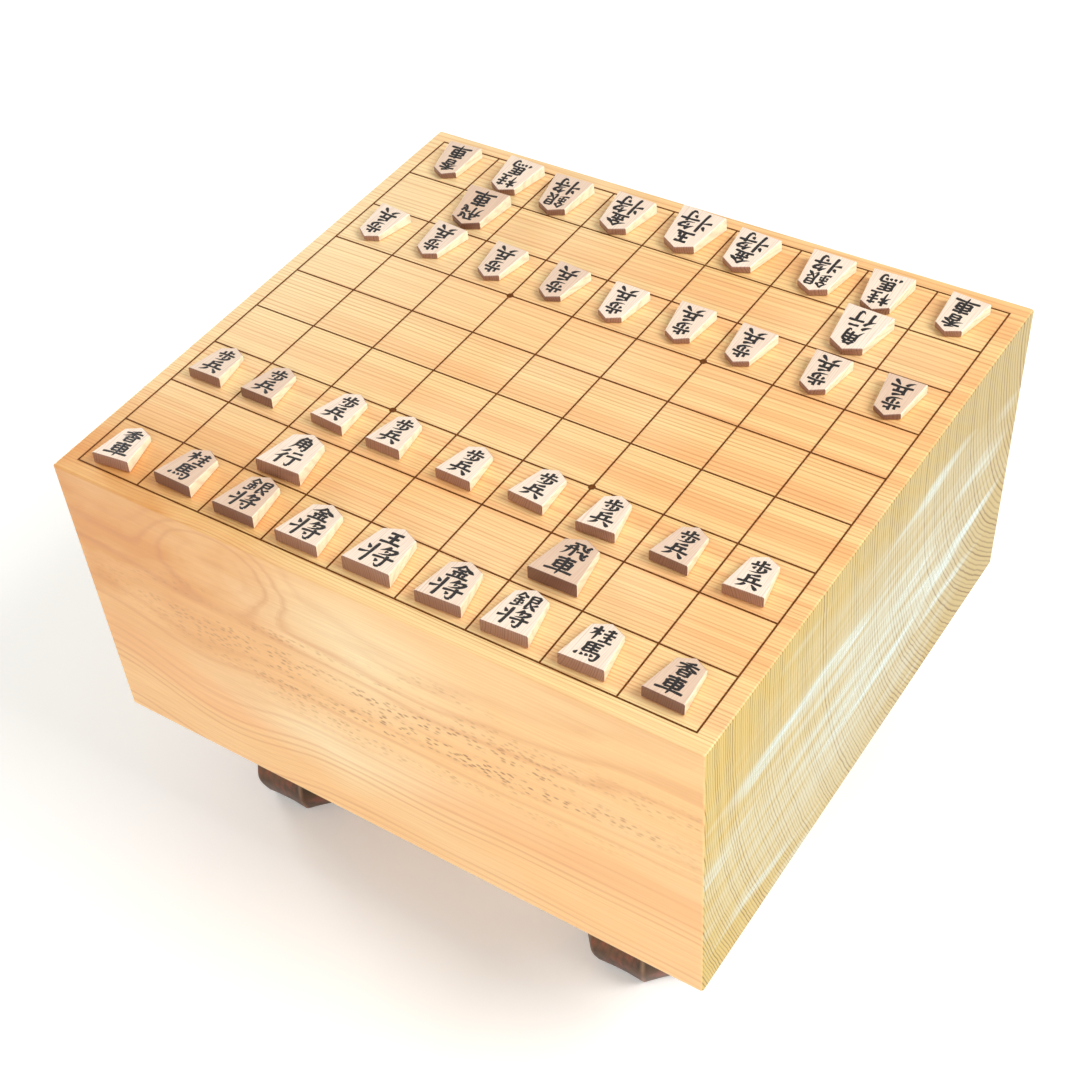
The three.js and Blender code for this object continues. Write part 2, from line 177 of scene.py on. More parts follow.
class FootSettings(PropertyGroup):
    stain: Colour("Stain", "Colour of the stained wood", "#67452c")
    stain_dark: Colour("Dark stain", "The late wood and the blotches under the stain", "#3f2c1a")
    stain_red: Colour("Red stain", "Colour of the redder spots under the stain", "#8b4a33")
    worn: Colour("Worn ridges", "Colour where the stain is rubbed thin", "#94735a")
    face_hollow_share: Share("Face hollow", "Depth of a face's scoop, as a share of the radius", 0.02)
    steps_per_face: Count("Steps per face", "How many strips each of the eight faces is carved in", 8)
    row_height: Length("Row height", "How far apart the rows of the carved surface are", 2.0 * MM)
    ridge_round: Length("Ridge rounding", "Width of the rounding on a ridge", 0.5 * MM)
    ring_spacing: Length("Ring spacing", "Thickness of one year's growth in the feet", 2.4 * MM)


class PieceSettings(PropertyGroup):
    face: Colour("Face", "Colour of the paler pieces", "#fce9d4")
    face_dark: Colour("Darker face", "Colour of the darker pieces", "#e4c5aa")
    # Painted highlight: the pale colour of the long sides stands in for the window's light on them, not
    # for split wood
    side: Colour("Long sides", "A piece's two long sides, split rather than planed", "#fff4d2")
    line: Colour("Grain lines", "Colour of the fine lines along a piece", "#c89a7e")
    end: Colour("End grain", "Colour of the paler pieces' sawn ends", "#a67861")
    end_dark: Colour("Darker end grain", "Colour of the darker pieces' sawn ends", "#7d5545")
    end_line: Colour("End-grain lines", "Colour of the lines on a piece's sawn ends", "#5d392b")
    edge_round: Length("Edge rounding", "Width of the rounding on the edges of a piece", 0.2 * MM)
    ring_spacing: Length("Ring spacing", "Thickness of one year's growth in the pieces", 1.2 * MM)
    seed: Count("Seed", "Picks where in the log each playing piece was cut", 7)


class MarkSettings(PropertyGroup):
    ink: Colour("Ink", "Colour of the lacquer that the pieces are marked with", "#1c1817")
    line: Colour("Lines", "Colour of the lacquer that the grid is drawn with", "#5b3007")
    brush_width: Length("Brush width", "Width of a full stroke on a playing piece", 1.6 * MM)
    height_share: Share("Stroke height", "Height of a stroke, as a share of its half width", 0.16)
    sides: Count("Stroke sides", "How many sides the section of a stroke has", 8)
    steps: Count("Stroke steps", "How many steps a stroke is drawn in", 10)


# Materials

def linear(colour):
    """Turns #rrggbb, as a screen shows it, into the linear colour that shaders use."""
    values = [int(colour[i:i + 2], 16) / 255 for i in (1, 3, 5)]
    return [v / 12.92 if v <= 0.04045 else ((v + 0.055) / 1.055) ** 2.4 for v in values] + [1.0]


def feed(tree, node, inputs):
    """Gives each socket its value, its #rrggbb colour, or the node or socket that feeds it. The
    sockets are counted or named among those that the node's settings leave open."""
    sockets = [socket for socket in node.inputs if socket.enabled]
    names = [socket.name for socket in sockets]
    for name, value in (inputs.items() if isinstance(inputs, dict) else enumerate(inputs)):
        socket = sockets[names.index(name) if isinstance(name, str) else name]
        if isinstance(value, bpy.types.Node):
            value = next(output for output in value.outputs if output.enabled)
        if isinstance(value, bpy.types.NodeSocket):
            tree.links.new(value, socket)
        elif isinstance(value, str) and value.startswith("#"):
            socket.default_value = linear(value)
        else:
            socket.default_value = value


def add_node(tree, kind, inputs=(), **settings):
    """Adds a node with its settings and with what feeds its sockets."""
    node = tree.nodes.new(kind)
    for name, value in settings.items():
        setattr(node, name, value)
    feed(tree, node, inputs)
    return node


def set_ramp(node, stops):
    """Gives a colour ramp its stops, each a place and a grey level."""
    elements = node.color_ramp.elements
    for place, _ in stops[2:]:
        elements.new(place)
    for element, (place, level) in zip(elements, stops):
        element.position = place
        element.color = (level, level, level, 1.0)


def new_material(name):
    """An empty material, with its tree and its shader linked to the output."""
    material = bpy.data.materials.new(name)
    material.use_nodes = True
    tree = material.node_tree
    tree.nodes.clear()
    shader = add_node(tree, "ShaderNodeBsdfPrincipled")
    add_node(tree, "ShaderNodeOutputMaterial", {"Surface": shader})
    return material, tree, shader


def noise(tree, place, grains, detail):
    """Noise whose grains measure that many millimetres along each axis."""
    scale = [1 / (grain * MM) for grain in grains]
    scaled = add_node(tree, MAPPING, {"Vector": place, "Scale": scale})
    return add_node(tree, NOISE, {"Vector": scaled, "Scale": 1.0, "Detail": detail})


def wandering(tree, place, grains, amount):
    """Shifts a place by noise, so that the rings read from it waver."""
    waves = noise(tree, place, grains, 2.0).outputs["Color"]
    shift = add_node(tree, VECTOR_MATH, (waves, (0.5, 0.5, 0.5)), operation="SUBTRACT")
    return add_node(tree, VECTOR_MATH, (shift, (amount,) * 3, place), operation="MULTIPLY_ADD")


def ring_radius(tree, place):
    """The distance from the X axis of place."""
    across = add_node(tree, VECTOR_MATH, (place, (0.0, 1.0, 1.0)), operation="MULTIPLY")
    return add_node(tree, VECTOR_MATH, (across,), operation="LENGTH")


def growth_rings(tree, years, drift):
    """Late-wood lines, one a year, uneven in width and depth, and the uneven year count. Noise
    that is read along the count is scaled per year."""
    node = partial(add_node, tree)
    weather = node(NOISE, {"W": years, "Scale": 0.13, "Detail": 1.0}, noise_dimensions="1D")
    count = node(MATH, (weather, drift, years), operation="MULTIPLY_ADD")
    year = node(MATH, (count,), operation="FLOOR")
    season = node(MATH, (count,), operation="FRACT")
    depth = node("ShaderNodeTexWhiteNoise", {"W": year}, noise_dimensions="1D")
    ramp = node(RAMP, (season,))
    set_ramp(ramp, [(0.0, 0.1), (0.1, 0.0), (0.55, 0.06), (0.82, 1.0), (0.94, 0.45)])
    strength = node(RANGE, (depth, 0.0, 1.0, 0.4, 1.0))
    return node(MATH, (ramp, strength), operation="MULTIPLY"), count


def cloud(tree, place, settings, name):
    """A share that falls from 1 at the middle of the named cloud to 0 at its reach."""
    middle = getattr(settings, name + "_place")
    reach = getattr(settings, name + "_size")
    inside = add_node(
        tree, MAPPING, {"Vector": place, "Location": middle, "Scale": reach}, vector_type="TEXTURE",
    )
    return add_node(tree, "ShaderNodeTexGradient", {"Vector": inside}, gradient_type="SPHERICAL")


def bent(tree, rings_place, near, shift):
    """Moves the place that rings are read from by a shift times a share, as round a knot."""
    share = add_node(tree, RANGE, (near,), interpolation_type="SMOOTHSTEP")
    return add_node(tree, VECTOR_MATH, (share, shift, rings_place), operation="MULTIPLY_ADD")


def facing_shares(tree):
    """How far a face looks along X, Y and Z, from 0 to 1 each."""
    normal = add_node(tree, "ShaderNodeNewGeometry").outputs["Normal"]
    facing = add_node(tree, VECTOR_MATH, (normal,), operation="ABSOLUTE")
    return add_node(tree, SPLIT, (facing,)).outputs


def board_wood(settings):
    """Planed softwood under a thin wax, as on playing boards: even honey colour, fine straight
    lines on top, soft waves on the long sides and close rings at the ends, with a low sheen."""
    material, tree, shader = new_material("waxed_softwood")
    node = partial(add_node, tree)
    place = node("ShaderNodeTexCoord").outputs["Object"]
    facing = facing_shares(tree)
    end = node(RANGE, (facing["X"], 0.6, 0.85))
    side = node(RANGE, (facing["Y"], 0.6, 0.85))

    # The rings wander by millimetres over two hands' length, and by tenths over a finger's
    from_pith = node(VECTOR_MATH, (place, settings.pith), operation="SUBTRACT")
    dipped = bent(tree, from_pith, cloud(tree, place, settings, "dip"), (0.0, 0.0, 16 * MM))
    swollen = bent(tree, dipped, cloud(tree, place, settings, "knot"), (0.0, -7 * MM, 0.0))
    slow = wandering(tree, swollen, (285.7, 166.7, 166.7), 9 * MM)
    fast = wandering(tree, slow, (125, 12.5, 12.5), 1.6 * MM)
    radius = ring_radius(tree, fast)
    share = node(MATH, (radius, settings.bark_radius), operation="DIVIDE")
    grown = node(MATH, (share, settings.ring_growth), operation="POWER")
    bark_years = settings.bark_radius / (settings.ring_spacing * settings.ring_growth)
    years = node(MATH, (grown, bark_years), operation="MULTIPLY")
    rings, count = growth_rings(tree, years, 1.4)

    # Long grain comes in warmer and yellower bands of years, the last ones before the bark yellow
    warmth = node(NOISE, {"W": count, "Scale": 0.16, "Detail": 2.0}, noise_dimensions="1D")
    warm_band = node(RANGE, (warmth, 0.4, 0.6))
    warm_side = node(RANGE, (side, 0.0, 1.0, 0.0, 0.6))
    warm = node(MATH, (warm_band, warm_side), operation="MAXIMUM")
    banded = node(MIX, (warm, settings.long_grain, settings.long_grain_warm), data_type="RGBA")
    sap_share = node(RANGE, (radius, settings.bark_radius - 13 * MM, settings.bark_radius))
    sap = node(RAMP, (sap_share,))
    set_ramp(sap, [(0.0, 0.0), (0.2, 0.7), (0.9, 0.7), (1.0, 0.0)])
    off_side = node(RANGE, (side, 0.0, 1.0, 1.0, 0.0))
    sap_here = node(MATH, (sap, off_side), operation="MULTIPLY")
    outer = node(MIX, (sap_here, banded, settings.sapwood), data_type="RGBA")

    # Pale patches a hand wide in the wood itself, painted highlights on the front and the top that
    # stand in for the glare of the room's light, a paler cloud low on the front, and a darker cloud of
    # wood on the front
    patches = noise(tree, place, (166.7, 125, 76.9), 2.0)
    patch_most = node(RANGE, (side, 0.0, 1.0, 0.6, 0.3))
    pale = node(RANGE, (patches, 0.5, 0.75, 0.0, patch_most))
    blown = wandering(tree, place, (111.1, 111.1, 71.4), 60 * MM)
    for name in ("cloud", "low_cloud", "top_cloud"):
        pale = node(MATH, (pale, cloud(tree, blown, settings, name)), operation="MAXIMUM")
    patched = node(MIX, (pale, outer, settings.pale_patch), data_type="RGBA")
    shade_cloud = cloud(tree, blown, settings, "shade")
    figure = noise(tree, blown, (41.7, 41.7, 20), 4.0)
    figured = node(RANGE, (figure, 0.35, 0.65, 0.7, 1.5))
    shade = node(MATH, (shade_cloud, figured), operation="MULTIPLY", use_clamp=True)
    early = node(MIX, (shade, patched, settings.shade), data_type="RGBA")

    # The late wood's lines are soft where the saw ran along the rings, as on the long sides, and
    # come in stronger and fainter groups there
    groups = node(NOISE, {"W": count, "Scale": 0.4, "Detail": 1.0}, noise_dimensions="1D")
    group = node(RANGE, (groups, 0.38, 0.62, 0.12, 0.62))
    # Lines are fainter under the pale patches and under the painted highlights
    top_strength = node(RANGE, (pale, 0.0, 1.0, 0.75, 0.45))
    side_fade = node(RANGE, (side, 0.0, 1.0, top_strength, group))
    line_strength = node(MATH, (rings, side_fade), operation="MULTIPLY")
    lined = node(MIX, (line_strength, early, settings.long_line), data_type="RGBA")
    fibres = noise(tree, place, (71.4, 1.25, 1.25), 3.0)
    fibre_strength = node(RANGE, (fibres, 0.4, 0.75, 0.0, 0.25))
    fibred = node(MIX, (fibre_strength, lined, settings.long_line), data_type="RGBA")

    # Flecks about 2 mm long, each of its own depth and in a cell of the size given here in
    # millimetres, in rows along a drift across the long sides
    fleck_scale = [1 / (size * MM) for size in (3.846, 1.786, 1.786)]
    fleck_place = node(MAPPING, {"Vector": place, "Scale": fleck_scale})
    flecks = node("ShaderNodeTexVoronoi", {"Vector": fleck_place, "Scale": 1.0})
    fleck_depth = node(RANGE, (flecks.outputs["Color"], 0.3, 0.65))
    fleck = node(RANGE, (flecks, 0.55, 0.2, 0.0, fleck_depth))
    crowds = noise(tree, place, (71.4, 71.4, 9.09), 2.0)
    crowd = node(RANGE, (crowds, 0.42, 0.54))
    for share in (crowd, cloud(tree, blown, settings, "drift"), side):
        fleck = node(MATH, (fleck, share), operation="MULTIPLY")
    long_grain = node(MIX, (fleck, fibred, settings.fleck), data_type="RGBA")

    # Wax lies on the end grain as a thin wash with wiped streaks in it, and the rings show through.
    # The wax colour's pale bluish tint is a painted reflection of the bright room, so the wash and the
    # streaks are partly the wax's own colour and partly painted sheen
    wiped = wandering(tree, place, (1000, 200, 25), 90 * MM)
    wash_cloud = cloud(tree, wiped, settings, "wash")
    wipes = noise(tree, place, (1000, 111.1, 5.263), 3.0)
    wipe = node(RANGE, (wipes, 0.35, 0.65, 0.25, 0.9))
    wash = node(MATH, (wash_cloud, wipe), operation="MULTIPLY")
    wax_streaks = noise(tree, place, (1000, 142.9, 16.67), 2.0)
    off_edges = node(RANGE, (wash_cloud, 0.0, 0.2, 0.0, 0.95))
    streak = node(RANGE, (wax_streaks, 0.52, 0.68, 0.0, off_edges))
    wax = node(MATH, (wash, streak), operation="MAXIMUM")
    far = node(RANGE, (node(SPLIT, (place,)).outputs["Y"], -0.15, 0.10))
    end_bare = node(MIX, (far, settings.end_grain, settings.end_grain_far), data_type="RGBA")
    # Painted sheen: the wash and the streaks take the pale bluish colour that stands in for reflections
    end_early_with_sheen = node(MIX, (wax, end_bare, settings.wax), data_type="RGBA")
    wax_fade = node(RANGE, (wax, 0.0, 1.0, 1.0, 0.45))
    end_strength = node(MATH, (rings, wax_fade), operation="MULTIPLY")
    end_grain = node(MIX, (end_strength, end_early_with_sheen, settings.end_line), data_type="RGBA")

    # Bare end grain is full of open pores, so it hardly shines, and waxed end grain does
    wax_here = node(MATH, (wax, end), operation="MULTIPLY")
    bare = node(MATH, (end, wax_here), operation="SUBTRACT")
    relief = node(MATH, (rings, 0.6, fibres), operation="MULTIPLY_ADD")
    feed(tree, shader, {
        "Base Color": node(MIX, (end, long_grain, end_grain), data_type="RGBA"),
        "IOR": 1.5,
        "Roughness": node(RANGE, (wax_here, 0.0, 1.0, 0.38, 0.22)),
        "Specular IOR Level": node(RANGE, (bare, 0.0, 1.0, 0.5, 0.06)),
        "Coat Weight": node(RANGE, (end, 0.0, 1.0, 0.15, 0.0)),
        "Coat Roughness": 0.2,
        "Normal": node(BUMP, {"Strength": 0.25, "Distance": 0.08 * MM, "Height": relief}),
    })
    return material


def piece_wood(settings):
    """Close hardwood, such as box or maple, cut, polished and barely oiled: pale faces with fine
    lines along them, and redder, darker sawn ends. Each piece reads its own place in the log."""
    material, tree, shader = new_material("polished_hardwood")
    node = partial(add_node, tree)
    place = node(ATTRIBUTE, attribute_name="log_place").outputs["Vector"]
    wavy = wandering(tree, place, (40, 16.67, 16.67), 1.2 * MM)
    years = node(MATH, (ring_radius(tree, wavy), settings.ring_spacing), operation="DIVIDE")
    rings, _ = growth_rings(tree, years, 4.0)
    facing = facing_shares(tree)
    tone = node(ATTRIBUTE, attribute_name="tone").outputs["Fac"]
    # Painted highlight: faces that look along X, the long sides, are paled toward the side colour for
    # the window's light
    side = node(RANGE, (facing["X"], 0.4, 0.7, 0.0, 0.8))
    planed = node(MIX, (tone, settings.face, settings.face_dark), data_type="RGBA")
    face = node(MIX, (side, planed, settings.side), data_type="RGBA")
    line_strength = node(MATH, (rings, 0.4), operation="MULTIPLY")
    lined = node(MIX, (line_strength, face, settings.line), data_type="RGBA")

    # Pores a few tenths of a millimetre wide
    pores = noise(tree, place, (16.67, 0.5556, 0.5556), 2.0)
    pore_strength = node(RANGE, (pores, 0.45, 0.8, 0.0, 0.35))
    fibred = node(MIX, (pore_strength, lined, settings.line), data_type="RGBA")

    # Playing pieces lie along Y, so their sawn ends look that way
    end = node(RANGE, (facing["Y"], 0.4, 0.6))
    end_strength = node(MATH, (rings, 0.75), operation="MULTIPLY")
    sawn = node(MIX, (tone, settings.end, settings.end_dark), data_type="RGBA")
    end_lined = node(MIX, (end_strength, sawn, settings.end_line), data_type="RGBA")
    feed(tree, shader, {
        "Base Color": node(MIX, (end, fibred, end_lined), data_type="RGBA"),
        "IOR": 1.5,
        "Roughness": 0.36,
        "Coat Weight": 0.1,
        "Coat Roughness": 0.25,
        "Normal": node(BUMP, {"Strength": 0.2, "Distance": 0.03 * MM, "Height": pores}),
    })
    return material


def foot_wood(settings):
    """Softwood carved and stained dark brown: reddish and blotchy where the stain sank in, lighter
    in a thin line where the ridges are rubbed."""
    material, tree, shader = new_material("stained_softwood")
    node = partial(add_node, tree)
    place = node(ATTRIBUTE, attribute_name="log_place").outputs["Vector"]
    wavy = wandering(tree, place, (100, 33.3, 33.3), 3 * MM)
    years = node(MATH, (ring_radius(tree, wavy), settings.ring_spacing), operation="DIVIDE")
    rings, _ = growth_rings(tree, years, 3.0)
    blotches = noise(tree, place, (16.67, 14.29, 14.29), 4.0)
    blotch = node(RANGE, (blotches, 0.38, 0.62))
    stained = node(MIX, (blotch, settings.stain, settings.stain_dark), data_type="RGBA")
    spots = noise(tree, place, (11.11, 7.143, 7.143), 4.0)
    spot = node(RANGE, (spots, 0.48, 0.66, 0.0, 0.75))
    spotted = node(MIX, (spot, stained, settings.stain_red), data_type="RGBA")
    line_strength = node(MATH, (rings, 0.45), operation="MULTIPLY")
    lined = node(MIX, (line_strength, spotted, settings.stain_dark), data_type="RGBA")

    # The rubbed line breaks up where the stain has held
    rub = node(RANGE, (blotches, 0.4, 0.55, 0.0, 0.7))
    ridge = node(ATTRIBUTE, attribute_name="ridge").outputs["Fac"]
    crest = node(RANGE, (ridge, 0.55, 0.95))
    wear = node(MATH, (crest, rub), operation="MULTIPLY")
    fibres = noise(tree, place, (25, 1.429, 1.429), 3.0)
    relief = node(MATH, (rings, 0.5, fibres), operation="MULTIPLY_ADD")
    feed(tree, shader, {
        "Base Color": node(MIX, (wear, lined, settings.worn), data_type="RGBA"),
        "IOR": 1.4,
        "Roughness": 0.45,
        "Normal": node(BUMP, {"Strength": 0.4, "Distance": 0.1 * MM, "Height": relief}),
    })
    return material


def lacquer(name, colour, roughness, shine):
    """Thick lacquer drawn on wood: nearly black, smooth, a little uneven where it settled."""
    material, tree, shader = new_material(name)
    node = partial(add_node, tree)
    place = node("ShaderNodeTexCoord").outputs["Object"]
    pools = noise(tree, place, (1.111, 1.111, 1.111), 2.0)
    pool = node(RANGE, (pools, 0.4, 0.75))
    # Where it is thin, the wood below makes it 2.2 times as bright
    thin = [channel * 2.2 for channel in linear(colour)[:3]] + [1.0]
    feed(tree, shader, {
        "Base Color": node(MIX, (pool, colour, thin), data_type="RGBA"),
        "IOR": 1.54,
        "Roughness": node(RANGE, (pools, 0.0, 1.0, roughness, roughness + 0.2)),
        "Specular IOR Level": shine,
    })
    return material


# Meshes

def new_object(name, mesh):
    """Puts a mesh in the scene as an object of that name."""
    made = bpy.data.objects.new(name, mesh)
    bpy.context.scene.collection.objects.link(made)
    return made


def baked(source, name):
    """The result of an object's modifiers as a plain mesh object; the source is removed."""
    bpy.context.view_layer.update()
    graph = bpy.context.evaluated_depsgraph_get()
    mesh = bpy.data.meshes.new_from_object(source.evaluated_get(graph))
    mesh.name = name
    bpy.data.objects.remove(source)
    return new_object(name, mesh)


def clean_copy(node_name, flat_faces=True):
    """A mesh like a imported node's with its triangles joined, into whole flat faces if asked."""
    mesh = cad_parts[node_name].data.copy()
    shape = bmesh.new()
    shape.from_mesh(mesh)
    bmesh.ops.remove_doubles(shape, verts=shape.verts, dist=0.005 * MM)
    if flat_faces:
        bmesh.ops.dissolve_limit(
            shape, angle_limit=math.radians(0.5), verts=shape.verts, edges=shape.edges,
        )
    bmesh.ops.recalc_face_normals(shape, faces=shape.faces)
    shape.to_mesh(mesh)
    shape.free()
    mesh.materials.clear()
    return mesh


def rounded(rough, name, width, angle):
    """The object with its edges sharper than an angle rounded over a width, flat faces kept flat
    in the light."""
    rough.data.shade_smooth()
    bevel = rough.modifiers.new("edges", "BEVEL")
    bevel.width = width
    bevel.segments = 2
    bevel.limit_method = "ANGLE"
    bevel.angle_limit = angle
    bevel.harden_normals = True
    return baked(rough, name)


def store(mesh, name, kind, values):
    """Stores one value for each vertex under a name that a material reads."""
    attribute = mesh.attributes.new(name, kind, "POINT")
    field = "vector" if kind == "FLOAT_VECTOR" else "value"
    flat = [part for value in values for part in value] if kind == "FLOAT_VECTOR" else values
    attribute.data.foreach_set(field, flat)


def dress(piece, body, slot, material, *nodes):
    """Finishes a piece: its material, the body it rides on and the nodes it replaces. The slot is not
    used.
    """
    piece.data.materials.clear()
    piece.data.materials.append(material)
    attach(piece, body)
    if nodes:
        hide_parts(*nodes)


# Marks

# How full the brush is along each kind of stroke: the place along it and the share of its width
BRUSH_SHARES = {
    "bar": ((0, 0.75), (0.12, 0.9), (0.5, 0.68), (0.85, 0.95), (1, 0.8)),
    "post": ((0, 0.85), (0.12, 1.05), (0.5, 0.85), (0.9, 1.0), (1, 0.8)),
    "needle": ((0, 0.85), (0.15, 1.05), (0.6, 0.85), (0.9, 0.6), (1, 0.25)),
    "sweep": ((0, 0.9), (0.15, 1.1), (0.5, 0.85), (0.8, 0.5), (1, 0.15)),
    "press": ((0, 0.45), (0.3, 0.65), (0.65, 1.05), (0.82, 1.3), (1, 0.25)),
    "dot": ((0, 0.35), (0.35, 0.8), (0.75, 1.2), (1, 0.7)),
    "flick": ((0, 1.0), (0.35, 0.9), (0.7, 0.5), (1, 0.12)),
}

# Each character in a square a hundred wide and high, counted from its top left: the strokes in
# their written order, each a kind and the points it passes. They are plain shapes.
CHARACTERS = {
    "king": "bar 22,20 78,17 | post 50,18 50,84 | bar 27,51 74,48 | bar 8,85 93,82",
    "general": "post 33,4 31,60 27,97 | dot 12,18 22,36 | flick 4,58 18,54 32,46"
        " | sweep 66,3 58,16 46,27 | bar 60,17 88,13 | sweep 88,13 76,34 50,44 | dot 60,24 66,31"
        " | dot 72,27 78,36 | bar 42,58 97,53 | post 76,42 76,90 | flick 76,90 68,93 60,84"
        " | dot 54,66 62,78",
    "flying": "bar 26,12 66,9 | post 66,9 68,30 82,40 | flick 82,40 90,40 92,32"
        " | sweep 92,8 84,18 74,22 | dot 76,22 90,30 | sweep 44,18 34,28 20,32 | bar 4,50 56,45"
        " | sweep 22,32 22,66 6,96 | post 42,22 42,96 | bar 54,60 78,57 | post 78,57 79,78 90,92"
        " | flick 90,92 97,92 98,80 | sweep 97,56 91,64 83,68 | dot 84,70 95,78",
    "chariot": "bar 20,16 80,12 | post 25,30 27,66 | bar 26,30 75,27 | post 75,27 73,65"
        " | bar 28,46 72,44 | bar 28,64 73,62 | bar 4,82 97,78 | needle 50,2 50,99",
    "corner": "sweep 44,2 36,16 20,26 | bar 40,13 68,10 | sweep 68,10 62,20 54,27"
        " | sweep 27,30 26,66 10,97 | bar 28,31 79,28 | post 79,28 79,92 | flick 79,92 72,95 64,86"
        " | bar 30,49 77,47 | bar 29,68 77,66 | post 53,31 53,86",
    "going": "sweep 34,4 24,18 8,28 | sweep 38,28 26,46 6,60 | post 25,46 25,97 | bar 52,20 88,16"
        " | bar 44,47 98,43 | post 74,46 74,91 | flick 74,91 66,94 57,84",
    "gold": "sweep 50,3 34,26 4,44 | press 50,4 66,24 97,42 | bar 32,41 68,38 | bar 20,60 80,57"
        " | post 50,39 50,88 | dot 26,67 36,80 | dot 74,65 64,79 | bar 8,93 93,90",
    "silver": "sweep 24,3 16,22 2,38 | press 24,4 34,18 47,30 | bar 12,38 36,36 | bar 8,56 41,53"
        " | post 25,37 25,84 | dot 9,62 15,76 | dot 41,60 36,74 | flick 3,91 20,90 46,80"
        " | bar 58,12 88,9 | post 88,9 87,46 | bar 59,28 86,26 | bar 59,46 87,44"
        " | post 58,11 57,90 | flick 57,92 64,90 74,78 | sweep 95,54 86,64 76,68"
        " | press 64,50 76,72 99,94",
    "laurel": "bar 2,30 44,26 | needle 24,2 24,98 | sweep 23,30 16,50 2,66 | dot 27,40 40,56"
        " | bar 56,18 90,15 | post 73,3 73,42 | bar 50,43 96,40 | bar 56,64 90,61"
        " | post 73,46 73,90 | bar 47,92 99,89",
    "horse": "post 26,8 25,60 | bar 27,9 80,6 | post 51,9 51,58 | bar 27,25 76,23"
        " | bar 27,42 76,40 | bar 25,60 86,56 | post 86,56 84,86 76,95 | flick 76,95 70,94 64,86"
        " | dot 14,70 7,88 | dot 28,71 33,86 | dot 44,69 51,83 | dot 59,66 68,80",
    "incense": "sweep 72,3 54,10 28,15 | bar 8,29 93,25 | post 50,9 50,56 | sweep 48,29 34,44 4,58"
        " | press 52,29 68,43 97,56 | post 29,62 30,98 | bar 30,62 72,59 | post 72,59 71,98"
        " | bar 31,79 70,77 | bar 31,97 71,95",
    "step": "post 50,2 50,44 | bar 51,21 80,18 | post 25,16 26,44 | bar 3,47 97,43"
        " | post 51,50 51,78 | flick 51,78 46,80 41,75 | dot 32,56 20,74 | dot 68,54 82,68"
        " | sweep 84,66 60,90 14,99",
    "soldier": "sweep 72,3 54,11 34,14 | post 31,14 30,60 | bar 32,34 80,30 | post 61,32 61,60"
        " | bar 3,64 98,60 | sweep 36,70 26,86 6,98 | dot 62,70 76,84 90,97",
}
CHARACTERS["jewel"] = CHARACTERS["king"] + " | dot 64,58 80,72"

# The two characters on each kind of piece, first the one nearest its tip. The shares are where
# the character's middle lies from foot to tip, its height, its width and its brush.
MARK_SHARES = {
    "near_king": (("king", 0.715, 0.35, 0.48, 1.35), ("general", 0.29, 0.52, 0.78, 1.2)),
    "far_king": (("jewel", 0.715, 0.35, 0.48, 1.3), ("general", 0.29, 0.52, 0.78, 1.2)),
    "rook": (("flying", 0.70, 0.38, 0.54, 1.05), ("chariot", 0.27, 0.46, 0.60, 1.2)),
    "bishop": (("corner", 0.70, 0.38, 0.48, 1.1), ("going", 0.28, 0.45, 0.60, 1.2)),
    "gold": (("gold", 0.71, 0.36, 0.54, 1.15), ("general", 0.28, 0.51, 0.78, 1.2)),
    "silver": (("silver", 0.70, 0.38, 0.56, 0.95), ("general", 0.28, 0.45, 0.70, 1.15)),
    "knight": (("laurel", 0.70, 0.37, 0.55, 1.0), ("horse", 0.28, 0.43, 0.60, 1.05)),
    "lance": (("incense", 0.70, 0.37, 0.54, 1.0), ("chariot", 0.265, 0.45, 0.70, 1.15)),
    "pawn": (("step", 0.69, 0.37, 0.52, 1.05), ("soldier", 0.275, 0.42, 0.62, 1.15)),
}


def between(knots, place):
    """The value at a place among knots, each a place and a value."""
    for (first, low), (last, high) in zip(knots, knots[1:]):
        if place <= last:
            return low + (high - low) * (place - first) / (last - first)
    return knots[-1][1]


def stroke_path(words, steps):
    """A stroke's points, in the character's square, with the brush's share at each."""
    kind, *places = words.split()
    points = [Vector([float(part) for part in place.split(",")]) for place in places]
    if len(points) == 2:
        # A straight stroke bows by a thirtieth of its length, as a hand's does
        run = points[1] - points[0]
        points.insert(1, (points[0] + points[1]) / 2 + Vector((run.y, -run.x)) / 30)
    first, middle, last = points
    path = []
    for step in range(steps + 1):
        t = step / steps
        # The curve passes through the middle point halfway along
        point = (
            first * (1 - t) * (1 - 2 * t)
            + middle * 4 * t * (1 - t)
            + last * t * (2 * t - 1)
        )
        path.append((point, between(BRUSH_SHARES[kind], t)))
    return path


def new_tree(name, sizes):
    """An empty Geometry Nodes tree with a named input for each size, given as name, type, value."""
    tree = bpy.data.node_groups.new(name, "GeometryNodeTree")
    tree.interface.new_socket("Geometry", in_out="INPUT", socket_type="NodeSocketGeometry")
    for label, kind, value in sizes:
        tree.interface.new_socket(label, in_out="INPUT", socket_type=kind).default_value = value
    tree.interface.new_socket("Geometry", in_out="OUTPUT", socket_type="NodeSocketGeometry")
    return tree


def grow(path, tree, sizes, name):
    """Runs a tree on a curve object with its inputs set to sizes, and bakes the result."""
    modifier = path.modifiers.new("grow", "NODES")
    modifier.node_group = tree
    for socket in tree.interface.items_tree:
        if socket.in_out == "INPUT" and socket.name in sizes:
            modifier[socket.identifier] = sizes[socket.name]
    return baked(path, name)


def drawn(name, lines):
    """A curve object with a spline for each line, a list of points and the radius at each."""
    curve = bpy.data.curves.new(name, "CURVE")
    curve.dimensions = "3D"
    for line in lines:
        spline = curve.splines.new("POLY")
        spline.points.add(len(line) - 1)
        for point, (place, radius) in zip(spline.points, line):
            point.co = (*place, 1.0)
            point.radius = radius
    return new_object(name, curve)


